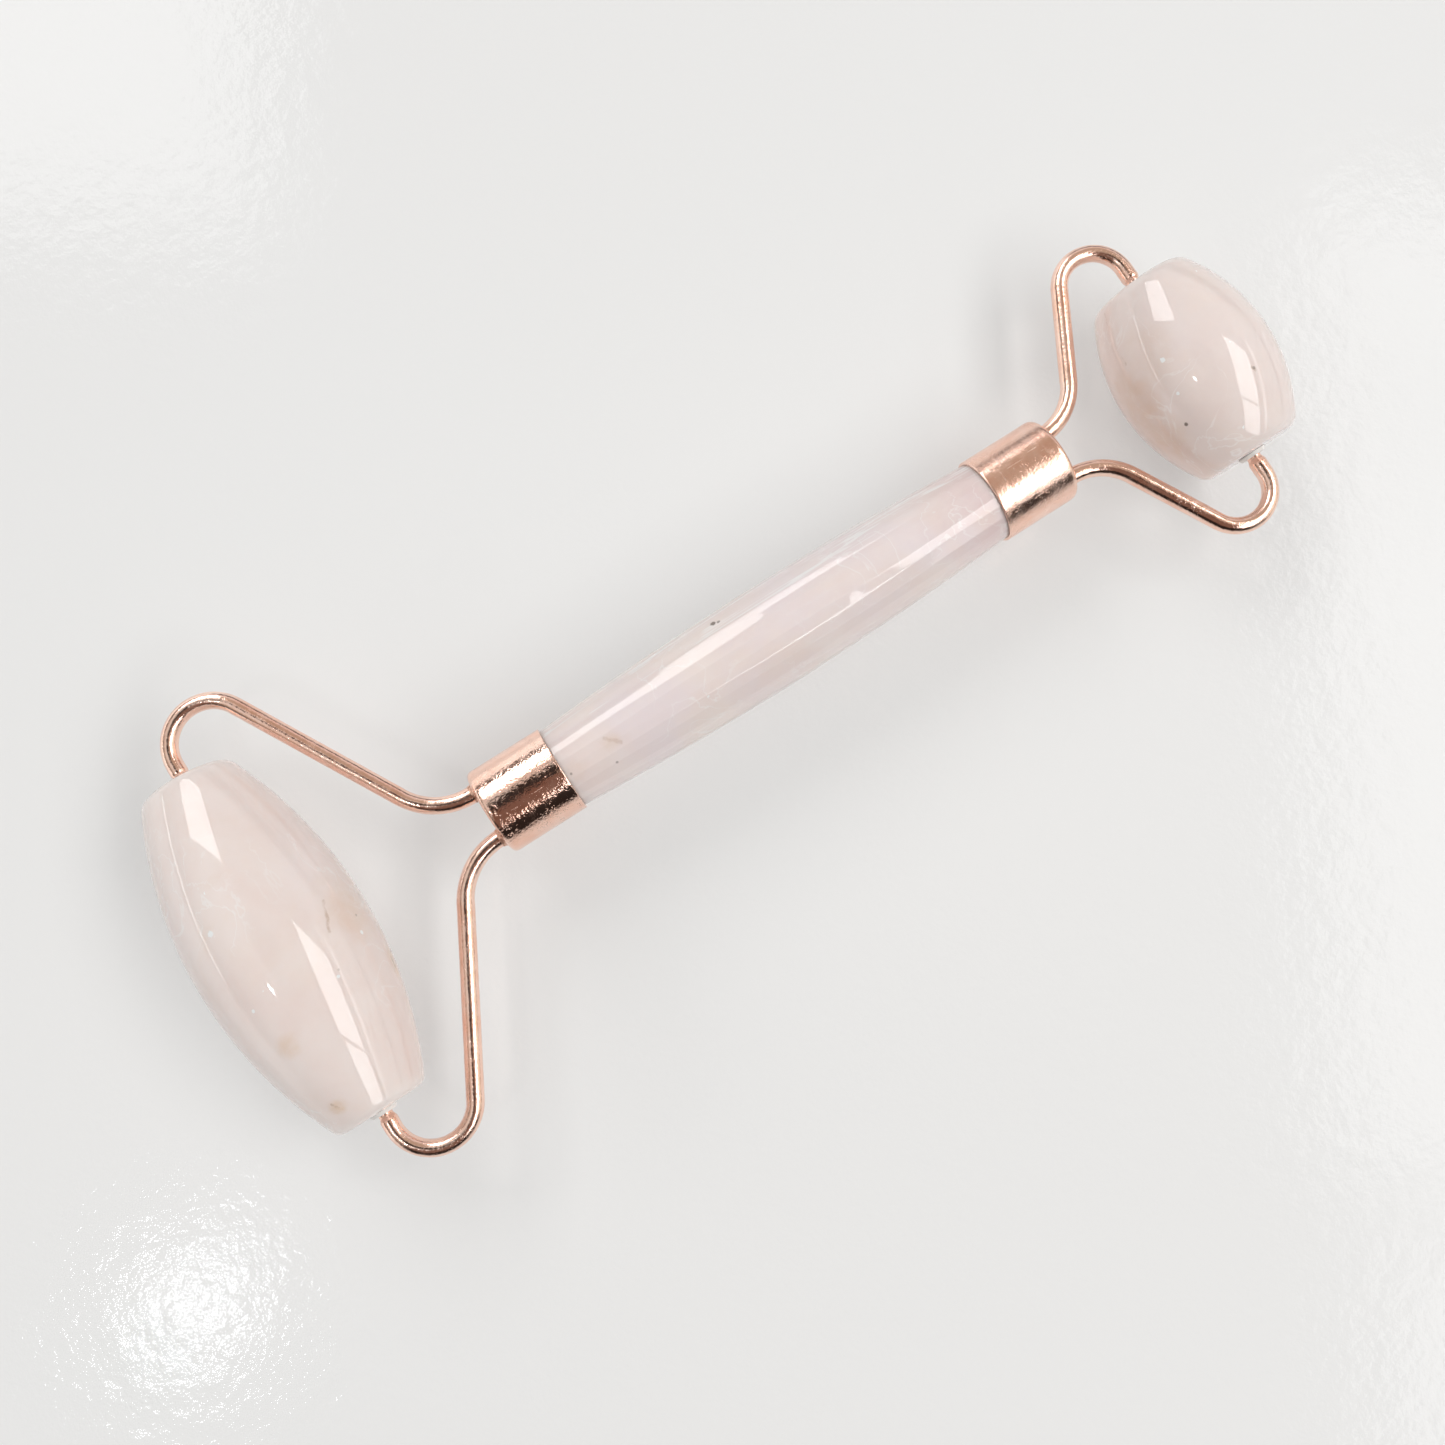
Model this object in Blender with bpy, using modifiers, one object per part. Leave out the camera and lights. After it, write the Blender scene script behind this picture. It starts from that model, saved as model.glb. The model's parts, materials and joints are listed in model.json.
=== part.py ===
"""A double-ended face roller, in metres, +Z up.

A rose quartz handle carries a wire fork at each end, and each fork holds a barrel-shaped
stone that spins on the fork's two pins. The object lies on both stones: +X runs from the
large stone to the small one, +Y along the stones' axles, and the origin is under the
middle of the object, on the table.
"""

import math

import bmesh
import bpy
from mathutils import Matrix, Vector

# Driving dimensions, in metres and degrees
FERRULE_RADIUS = 0.0053
FERRULE_LENGTH = 0.0097
FERRULE_WALL = 0.00035
FERRULE_END_WALL = 0.0005
FERRULE_EDGE_RADIUS = 0.0007
FERRULE_LIP_ROUND = 0.00012
FERRULE_INNER_CORNER = 0.0003

HANDLE_VISIBLE_LENGTH = 0.0582
HANDLE_MIDDLE_RADIUS = 0.0060
HANDLE_SHOULDER_RADIUS = 0.00495
TENON_RADIUS = 0.00435
TENON_CHAMFER = 0.0004
TENON_END_DEPTH = 0.0024
GLUE_SETBACK = 0.0006

WIRE_RADIUS = 0.00105
PIN_RADIUS = 0.00085
PIN_LENGTH = 0.0045
ARM_OFFSET = 0.00295
ARM_FLARE = math.radians(61.3)
ARM_STUB = 0.0016
ARM_ROOT_STRAIGHT = 0.0006
ARM_HOLE_RADIUS = 0.0014
BRAZE_FOOT_RADIUS = 0.0016
BRAZE_HEIGHT = 0.00055

STONE_BORE_RADIUS = 0.0013
STONE_BORE_CHAMFER = 0.0002
STONE_CORNER = 0.0009
STONE_BELLY_BAND = 0.0030
BUSH_BORE_RADIUS = 0.00093
BUSH_BODY_LENGTH = 0.0050
BUSH_FLANGE_RADIUS = 0.0017
BUSH_FLANGE_THICKNESS = 0.0004
BUSH_EDGE = 0.00012
PIN_SHOULDER_GAP = 0.0003
PIN_TAPER_LENGTH = 0.0009
PIN_TIP_TAPER = 0.0003
PIN_TIP_RADIUS = 0.0006

# A gap left where two pieces are glued, brazed or seated on each other
SEAT = 0.0001

# How finely round shapes are faceted, turned ones first
ROUND_STEPS = 40
SMALL_STEPS = 20
BRAZE_STEPS = 16
HANDLE_STATIONS = 10
STONE_SWEEP_STEPS = 6
FERRULE_EDGE_STEPS = 4
FERRULE_LIP_STEPS = 2
FILLET_STEPS = 3
ROOT_BEND_STEPS = 6
HOOK_BEND_STEPS = 13
WIRE_BEVEL_STEPS = 4
SHARP_ANGLE = math.radians(32)


class Fork:
    """One end of the roller: its wire fork and the stone that turns in it."""

    def __init__(self, name, reach, root_bend, hook_bend, half_length, radius, end_radius):
        self.name = name
        self.reach = reach
        self.root_bend = root_bend
        self.hook_bend = hook_bend
        self.half_length = half_length
        self.radius = radius
        self.end_radius = end_radius

    @property
    def axle_height(self):
        """The stone lies on one flat of its facets, so its axle is nearer than its radius."""
        return self.radius * math.cos(math.pi / ROUND_STEPS)


LARGE = Fork("large", 0.0273, 0.0080, 0.0049, 0.0216, 0.0102, 0.0054)
SMALL = Fork("small", 0.0204, 0.0072, 0.00425, 0.01205, 0.0094, 0.00585)

CORE_LENGTH = HANDLE_VISIBLE_LENGTH + 2 * FERRULE_LENGTH
AXLE_SPACING = LARGE.reach + CORE_LENGTH + SMALL.reach
# The small stone is thinner, so the handle slopes down to it
SLOPE = math.asin((LARGE.axle_height - SMALL.axle_height) / AXLE_SPACING)
AXLE_SPAN = AXLE_SPACING * math.cos(SLOPE)
LARGE_AXLE_X = (LARGE.axle_height - SMALL.axle_height - AXLE_SPAN) / 2

ALONG_X = Matrix.Rotation(math.radians(90), 4, "Y")
ALONG_MINUS_X = Matrix.Rotation(math.radians(-90), 4, "Y")
ALONG_Y = Matrix.Rotation(math.radians(-90), 4, "X")
ALONG_MINUS_Y = Matrix.Rotation(math.radians(90), 4, "X")
# Turned shapes start with a corner at their +X; half a step puts a flat there instead
HALF_STEP = Matrix.Rotation(math.pi / ROUND_STEPS, 4, "Z")

SIDES = (("left", 1), ("right", -1))

MATERIALS = {
    "rose_quartz": ((0.76, 0.64, 0.62), 0.10, 0.0),
    "rose_gold": ((0.85, 0.52, 0.40), 0.16, 1.0),
    "braze": ((0.80, 0.55, 0.45), 0.35, 1.0),
    "nylon": ((0.85, 0.84, 0.80), 0.45, 0.0),
    "epoxy": ((0.72, 0.66, 0.50), 0.25, 0.0),
}


def clear_scene():
    for obj in list(bpy.data.objects):
        bpy.data.objects.remove(obj, do_unlink=True)


def new_collection(name):
    collection = bpy.data.collections.new(name)
    bpy.context.scene.collection.children.link(collection)
    return collection


def material_of(node, finish):
    """A node's own material, in one of the object's finishes."""
    colour, roughness, metallic = MATERIALS[finish]
    material = bpy.data.materials.new(f"{node}_{finish}")
    material.use_nodes = True
    shader = material.node_tree.nodes["Principled BSDF"]
    shader.inputs["Base Color"].default_value = (*colour, 1.0)
    shader.inputs["Roughness"].default_value = roughness
    shader.inputs["Metallic"].default_value = metallic
    return material


def new_empty(name, location, rotation_y=0.0):
    empty = bpy.data.objects.new(name, None)
    empty.empty_display_size = 0.005
    empty.location = location
    empty.rotation_euler = (0.0, rotation_y, 0.0)
    parts.objects.link(empty)
    return empty


def place(obj, parent, matrix):
    obj.parent = parent
    obj.matrix_local = matrix


def arc(centre, radius, start, end, steps):
    """Points of an arc, angles in degrees, both ends included."""
    points = []
    for i in range(steps + 1):
        angle = math.radians(start + (end - start) * i / steps)
        points.append((centre[0] + radius * math.cos(angle), centre[1] + radius * math.sin(angle)))
    return points


def quadratic(start, corner, end, steps):
    """Points that round off a corner, from start to end, both included."""
    points = []
    for i in range(steps + 1):
        t = i / steps
        weights = ((1 - t) ** 2, 2 * t * (1 - t), t * t)
        points.append(
            tuple(
                weights[0] * a + weights[1] * b + weights[2] * c
                for a, b, c in zip(start, corner, end)
            )
        )
    return points


def mirrored(profile):
    """The other half of a symmetric profile, in the order that carries it on."""
    return [(radius, -height) for radius, height in reversed(profile)]


def realise(obj):
    """Swaps in the evaluated mesh, shaded smooth up to its sharp edges."""
    bpy.context.view_layer.update()
    evaluated = obj.evaluated_get(bpy.context.evaluated_depsgraph_get())
    mesh = bpy.data.meshes.new_from_object(evaluated)
    mesh.name = obj.name
    obj.modifiers.clear()
    obj.data = mesh
    mesh.shade_smooth()
    mesh.set_sharp_from_angle(angle=SHARP_ANGLE)


def turned(name, profile, finish, closed, steps=ROUND_STEPS):
    """A (radius, height) profile turned about local Z. It runs down its outer side.

    An open profile starts and ends on the axis; a closed one is a ring's section.
    """
    count = len(profile)
    edges = [(i, i + 1) for i in range(count - 1)]
    if closed:
        edges.append((count - 1, 0))
    mesh = bpy.data.meshes.new(name)
    mesh.from_pydata([(radius, 0.0, height) for radius, height in profile], edges, [])
    obj = bpy.data.objects.new(name, mesh)
    parts.objects.link(obj)
    screw = obj.modifiers.new("Turn", "SCREW")
    screw.angle = 2 * math.pi
    screw.steps = steps
    screw.render_steps = steps
    screw.use_merge_vertices = True
    screw.merge_threshold = 0.00001
    mesh.materials.append(material_of(name, finish))
    return obj


def make_handle():
    """A bulged stone spindle, with a shoulder and a plain tenon at each end."""
    half = HANDLE_VISIBLE_LENGTH / 2 - SEAT
    tenon_end = HANDLE_VISIBLE_LENGTH / 2 + FERRULE_LENGTH - TENON_END_DEPTH
    bulge = HANDLE_MIDDLE_RADIUS - HANDLE_SHOULDER_RADIUS
    tenon = [
        (0.0, tenon_end),
        (TENON_RADIUS - TENON_CHAMFER, tenon_end),
        (TENON_RADIUS, tenon_end - TENON_CHAMFER),
        (TENON_RADIUS, half),
    ]
    body = []
    for i in range(HANDLE_STATIONS + 1):
        share = 1 - 2 * i / HANDLE_STATIONS
        body.append((HANDLE_SHOULDER_RADIUS + bulge * (1 - share * share), share * half))
    profile = tenon + body + mirrored(tenon)
    handle = turned("handle", profile, "rose_quartz", closed=False)
    place(handle, handle_axis, Matrix.Translation((handle_centre, 0, 0)) @ ALONG_X)
    realise(handle)


def make_hole_cutter(name, parent, matrix):
    """Two round holes for the arms, as one cutter with its length along local Z."""
    mesh = bpy.data.meshes.new(name)
    shape = bmesh.new()
    for side in (-1, 1):
        bmesh.ops.create_cone(
            shape,
            cap_ends=True,
            segments=SMALL_STEPS,
            radius1=ARM_HOLE_RADIUS,
            radius2=ARM_HOLE_RADIUS,
            depth=2 * ARM_STUB,
            matrix=Matrix.Translation((0, side * ARM_OFFSET, 0)),
        )
    shape.to_mesh(mesh)
    shape.free()
    cutter = bpy.data.objects.new(name, mesh)
    cutter.hide_render = True
    cutter.display_type = "WIRE"
    cutters.objects.link(cutter)
    place(cutter, parent, matrix)
    return cutter


def make_ferrule(fork, face_x, facing):
    """A deep-drawn cup: rounded at its closed end, thin and square at its lip."""
    edge = FERRULE_EDGE_RADIUS
    lip = FERRULE_LIP_ROUND
    bore = FERRULE_RADIUS - FERRULE_WALL
    profile = [(0.0, 0.0)]
    profile += arc((FERRULE_RADIUS - edge, -edge), edge, 90, 0, FERRULE_EDGE_STEPS)
    lip_centre = (FERRULE_RADIUS - lip, lip - FERRULE_LENGTH)
    profile += arc(lip_centre, lip, 0, -90, FERRULE_LIP_STEPS)
    profile += [
        (bore, -FERRULE_LENGTH),
        (bore, -FERRULE_END_WALL - FERRULE_INNER_CORNER),
        (bore - FERRULE_INNER_CORNER, -FERRULE_END_WALL),
        (0.0, -FERRULE_END_WALL),
    ]
    name = f"{fork.name}_ferrule"
    ferrule = turned(name, profile, "rose_gold", closed=False)
    where = Matrix.Translation((face_x, 0, 0)) @ facing
    place(ferrule, handle_axis, where)
    holes = ferrule.modifiers.new("Arm holes", "BOOLEAN")
    holes.operation = "DIFFERENCE"
    holes.object = make_hole_cutter(f"{name}_holes", handle_axis, where)
    realise(ferrule)


def make_glue(fork, face_x, facing):
    """The epoxy cup that bonds the handle's tenon into its ferrule."""
    outer = FERRULE_RADIUS - FERRULE_WALL - SEAT
    inner = TENON_RADIUS + SEAT
    rim = GLUE_SETBACK - FERRULE_LENGTH
    floor = SEAT - TENON_END_DEPTH
    roof = -ARM_STUB - 2 * SEAT
    profile = [(0.0, roof), (outer, roof), (outer, rim), (inner, rim), (inner, floor), (0.0, floor)]
    glue = turned(f"{fork.name}_glue", profile, "epoxy", closed=False)
    place(glue, handle_axis, Matrix.Translation((face_x, 0, 0)) @ facing)
    realise(glue)


def make_braze(fork, face_x, facing):
    """A braze collar round each arm's root: a fillet outside, a sleeve and a bead inside."""
    hole = WIRE_RADIUS + SEAT
    sleeve = ARM_HOLE_RADIUS - SEAT
    foot = BRAZE_FOOT_RADIUS
    inner_face = -FERRULE_END_WALL - SEAT
    rim = (hole + SEAT / 5, BRAZE_HEIGHT)
    fillet = quadratic(rim, (hole + SEAT, SEAT), (foot, SEAT), FILLET_STEPS)
    profile = [(hole, BRAZE_HEIGHT)] + fillet
    profile += [(sleeve, SEAT), (sleeve, inner_face), (foot, inner_face)]
    profile += [(foot - 2 * SEAT, inner_face - BRAZE_HEIGHT), (hole, inner_face - BRAZE_HEIGHT)]
    for side_name, side in SIDES:
        name = f"{fork.name}_arm_{side_name}_braze"
        collar = turned(name, profile, "braze", closed=True, steps=BRAZE_STEPS)
        offset = Matrix.Translation((face_x, side * ARM_OFFSET, 0))
        place(collar, handle_axis, offset @ facing)
        realise(collar)


def arm_route(fork):
    """(reach, side, thickness) along a wire: root, flare, hook back to the axle, pin."""
    flare = ARM_FLARE
    out = Vector((math.cos(flare), math.sin(flare)))
    inward = Vector((math.sin(flare), -math.cos(flare)))
    bends = fork.root_bend * math.sin(flare) + fork.hook_bend * (1 + math.sin(flare))
    straight = (fork.reach - ARM_ROOT_STRAIGHT - bends) / math.cos(flare)

    points = [Vector((-ARM_STUB, ARM_OFFSET)), Vector((0, ARM_OFFSET))]
    root_centre = Vector((ARM_ROOT_STRAIGHT, ARM_OFFSET + fork.root_bend))
    for i in range(ROOT_BEND_STEPS + 1):
        angle = flare * i / ROOT_BEND_STEPS
        spoke = Vector((math.sin(angle), -math.cos(angle)))
        points.append(root_centre + fork.root_bend * spoke)
    straight_start = points[-1]
    straight_end = straight_start + straight * out
    points.append((straight_start + straight_end) / 2)
    hook_centre = straight_end + fork.hook_bend * inward
    hook_turn = flare + math.radians(90)
    for i in range(HOOK_BEND_STEPS + 1):
        angle = hook_turn * i / HOOK_BEND_STEPS
        spoke = Matrix.Rotation(-angle, 2) @ -inward
        points.append(hook_centre + fork.hook_bend * spoke)
    route = [(point, 1.0) for point in points]

    # The wire is turned down to a pin, which starts just outside the bush's flange
    shoulder = fork.half_length + SEAT + BUSH_FLANGE_THICKNESS + PIN_SHOULDER_GAP
    pin = PIN_RADIUS / WIRE_RADIUS
    pin_end = fork.half_length - PIN_LENGTH
    for side, thickness in (
        (shoulder + PIN_TAPER_LENGTH, 1.0),
        (shoulder, pin),
        (pin_end + PIN_TIP_TAPER, pin),
        (pin_end, PIN_TIP_RADIUS / WIRE_RADIUS),
    ):
        route.append((Vector((fork.reach, side)), thickness))
    return route


def make_arms(fork, face_x, direction):
    """Two bent wires, mirror images. direction is +1 where the fork points along +X."""
    for side_name, side in SIDES:
        name = f"{fork.name}_arm_{side_name}"
        route = arm_route(fork)
        curve = bpy.data.curves.new(name, "CURVE")
        curve.dimensions = "3D"
        curve.bevel_depth = WIRE_RADIUS
        curve.bevel_resolution = WIRE_BEVEL_STEPS
        curve.use_fill_caps = True
        spline = curve.splines.new("POLY")
        spline.points.add(len(route) - 1)
        for point, (place_on_route, thickness) in zip(spline.points, route):
            reach, offset = place_on_route
            point.co = (face_x + direction * reach, side * offset, 0.0, 1.0)
            point.radius = thickness
        spline.use_smooth = True
        curve.materials.append(material_of(name, "rose_gold"))
        arm = bpy.data.objects.new(name, curve)
        parts.objects.link(arm)
        place(arm, handle_axis, Matrix.Identity(4))


def barrel_profile(fork):
    """The stone's section: arcs from a level belly to rounded corners, flat ends, a bore."""
    half = fork.half_length
    band = STONE_BELLY_BAND / 2
    run = half - band
    sag = fork.radius - fork.end_radius
    sweep_radius = (run * run + sag * sag) / (2 * sag)
    corner_angle = math.degrees(math.asin((run - STONE_CORNER) / sweep_radius))
    sweep_centre = (fork.radius - sweep_radius, band)
    sweep = arc(sweep_centre, sweep_radius, corner_angle, 0, STONE_SWEEP_STEPS)
    flat_edge = (fork.end_radius - STONE_CORNER, half)
    upper = [
        (STONE_BORE_RADIUS, half - STONE_BORE_CHAMFER),
        (STONE_BORE_RADIUS + STONE_BORE_CHAMFER, half),
    ]
    upper += quadratic(flat_edge, (fork.end_radius, half), sweep[0], FILLET_STEPS)
    upper += sweep[1:]
    return upper + mirrored(upper)


def make_stone(fork, axle):
    stone = turned(f"{fork.name}_roller", barrel_profile(fork), "rose_quartz", closed=True)
    place(stone, axle, ALONG_Y @ HALF_STEP)
    realise(stone)


def make_bushes(fork, axle):
    """A flanged nylon bush in each end of the stone; the pins turn in their bores."""
    body = STONE_BORE_RADIUS - SEAT
    face = fork.half_length + SEAT
    top = face + BUSH_FLANGE_THICKNESS
    bottom = fork.half_length - BUSH_BODY_LENGTH
    profile = [
        (BUSH_BORE_RADIUS, top - BUSH_EDGE),
        (BUSH_BORE_RADIUS + BUSH_EDGE, top),
        (BUSH_FLANGE_RADIUS - BUSH_EDGE, top),
        (BUSH_FLANGE_RADIUS, top - BUSH_EDGE),
        (BUSH_FLANGE_RADIUS, face),
        (body, face),
        (body, bottom),
        (BUSH_BORE_RADIUS, bottom),
    ]
    for side_name, facing in (("left", ALONG_Y), ("right", ALONG_MINUS_Y)):
        name = f"{fork.name}_bush_{side_name}"
        bush = turned(name, profile, "nylon", closed=True, steps=SMALL_STEPS)
        place(bush, axle, facing)
        realise(bush)


def make_end(fork, axle, face_x, facing, direction):
    """Everything at one end of the handle. face_x is its ferrule's closed face."""
    make_ferrule(fork, face_x, facing)
    make_glue(fork, face_x, facing)
    make_braze(fork, face_x, facing)
    make_arms(fork, face_x, direction)
    make_stone(fork, axle)
    make_bushes(fork, axle)


clear_scene()
parts = new_collection("face_roller")
cutters = new_collection("cutters")

large_axle = new_empty("large_axle", (LARGE_AXLE_X, 0, LARGE.axle_height))
small_axle = new_empty("small_axle", (LARGE_AXLE_X + AXLE_SPAN, 0, SMALL.axle_height))
# The handle's own frame: +X along the handle, starting at the large axle
handle_axis = new_empty("handle_axis", large_axle.location, SLOPE)

large_face = LARGE.reach
small_face = LARGE.reach + CORE_LENGTH
handle_centre = (large_face + small_face) / 2

make_handle()
make_end(LARGE, large_axle, large_face, ALONG_MINUS_X, -1)
make_end(SMALL, small_axle, small_face, ALONG_X, 1)
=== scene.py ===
"""The looks of a double-ended rose quartz face roller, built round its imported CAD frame."""

import json
import math

import bmesh
import bpy
import numpy as np
from mathutils import Matrix, Vector, noise


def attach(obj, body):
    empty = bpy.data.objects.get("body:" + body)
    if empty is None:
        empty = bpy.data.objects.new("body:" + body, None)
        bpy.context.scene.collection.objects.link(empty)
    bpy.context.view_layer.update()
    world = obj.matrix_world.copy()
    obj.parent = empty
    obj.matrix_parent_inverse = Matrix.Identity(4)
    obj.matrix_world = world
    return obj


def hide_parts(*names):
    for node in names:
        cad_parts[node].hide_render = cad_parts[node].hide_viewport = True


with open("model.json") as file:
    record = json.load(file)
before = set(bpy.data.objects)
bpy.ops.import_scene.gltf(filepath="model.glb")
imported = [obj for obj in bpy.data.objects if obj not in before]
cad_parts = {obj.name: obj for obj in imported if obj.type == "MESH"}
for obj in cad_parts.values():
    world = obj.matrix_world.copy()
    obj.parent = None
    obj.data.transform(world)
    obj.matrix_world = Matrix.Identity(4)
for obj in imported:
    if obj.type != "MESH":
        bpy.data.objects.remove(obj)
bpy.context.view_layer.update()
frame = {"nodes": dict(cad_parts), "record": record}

MM = 0.001
joints = {joint["name"]: joint for joint in frame["record"]["behaviour"]["joints"]}
large_axle = Vector(joints["large_roller_spin"]["pos_m"])
small_axle = Vector(joints["small_roller_spin"]["pos_m"])
Y_AXIS = Vector((0, 1, 0))
Z_AXIS = Vector((0, 0, 1))
handle_along = (small_axle - large_axle).normalized()
handle_up = handle_along.cross(Y_AXIS)


def node_extent(name, origin, axis):
    """(lowest, highest, radius) of a CAD node measured along and round an axis."""
    mesh = frame["nodes"][name].data
    points = np.array([vertex.co for vertex in mesh.vertices]) - np.array(origin)
    heights = points @ np.array(axis)
    away = points - heights[:, None] * np.array(axis)
    return float(heights.min()), float(heights.max()), float(np.linalg.norm(away, axis=1).max())


# ---------------------------------------------------------------- shapes


class Profile:
    """A (radius, height) outline, with a wear value along it: 1 at a worn edge."""

    def __init__(self):
        self.points = []
        self.wear = []

    def add(self, radius, height, wear=0.0):
        self.points.append((radius, height))
        self.wear.append(wear)
        return self

    def line(self, radius, height, steps, wear=0.0):
        start = self.points[-1]
        for i in range(1, steps + 1):
            t = i / steps
            self.add(start[0] + (radius - start[0]) * t, start[1] + (height - start[1]) * t, wear)
        return self

    def round(self, corner, end, steps, wear=1.0):
        """A quadratic round from the last point towards corner, ending at end."""
        start = self.points[-1]
        for i in range(1, steps + 1):
            t = i / steps
            a, b, c = (1 - t) ** 2, 2 * t * (1 - t), t * t
            self.add(
                a * start[0] + b * corner[0] + c * end[0],
                a * start[1] + b * corner[1] + c * end[1],
                wear * math.sin(math.pi * t),
            )
        return self

    def mirrored(self):
        """Carries the outline on with its mirror image below height 0."""
        for (radius, height), wear in list(zip(self.points, self.wear))[::-1]:
            if height != 0:
                self.add(radius, -height, wear)
        return self


def link(obj):
    bpy.context.scene.collection.objects.link(obj)
    return obj


def mesh_piece(name, points, faces, material, wear=None, sweep=None):
    mesh = bpy.data.meshes.new(name)
    mesh.from_pydata([tuple(p) for p in points], [], [tuple(int(i) for i in f) for f in faces])
    if wear is not None:
        attribute = mesh.attributes.new("wear", "FLOAT", "POINT")
        attribute.data.foreach_set("value", np.asarray(wear, np.float32))
    if sweep is not None:
        attribute = mesh.attributes.new("sweep", "FLOAT_VECTOR", "POINT")
        attribute.data.foreach_set("vector", np.asarray(sweep, np.float32).reshape(-1))
    mesh.materials.append(material)
    shape = bmesh.new()
    shape.from_mesh(mesh)
    bmesh.ops.recalc_face_normals(shape, faces=shape.faces)
    shape.to_mesh(mesh)
    shape.free()
    mesh.shade_smooth()
    return link(bpy.data.objects.new(name, mesh))


def turned(name, profile, origin, axis, side, material, steps, closed=False, ripple=None):
    """A profile turned round an axis. ripple(angle, height, radius) moves its surface."""
    across = axis.cross(side)
    rings, points, wear, sweep = [], [], [], []
    for (radius, height), worn in zip(profile.points, profile.wear):
        if radius < 1e-7:
            rings.append([len(points)] * steps)
            points.append(origin + axis * height)
            wear.append(worn)
            sweep.append((0, 0, height / MM))
            continue
        ring = []
        for i in range(steps):
            angle = 2 * math.pi * i / steps
            spoke = side * math.cos(angle) + across * math.sin(angle)
            out = radius + (ripple(angle, height, radius) if ripple else 0.0)
            ring.append(len(points))
            points.append(origin + axis * height + spoke * out)
            wear.append(worn)
            turn = (math.cos(angle) * radius / MM, math.sin(angle) * radius / MM)
            sweep.append((*turn, height / MM))
        rings.append(ring)
    faces = []
    pairs = list(zip(rings, rings[1:]))
    if closed:
        pairs.append((rings[-1], rings[0]))
    for low, high in pairs:
        for i in range(steps):
            j = (i + 1) % steps
            face = []
            for index in (low[i], low[j], high[j], high[i]):
                if index not in face:
                    face.append(index)
            if len(face) > 2:
                faces.append(face)
    return mesh_piece(name, points, faces, material, wear, sweep)


def wobble(point, scale, seed):
    """Smooth noise, about -1 to 1, at a place on the object, scale in millimetres."""
    return noise.noise(Vector(point) / (scale * MM) + Vector((seed, 2.3 * seed, -1.7 * seed)))


# ---------------------------------------------------------------- materials


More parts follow.
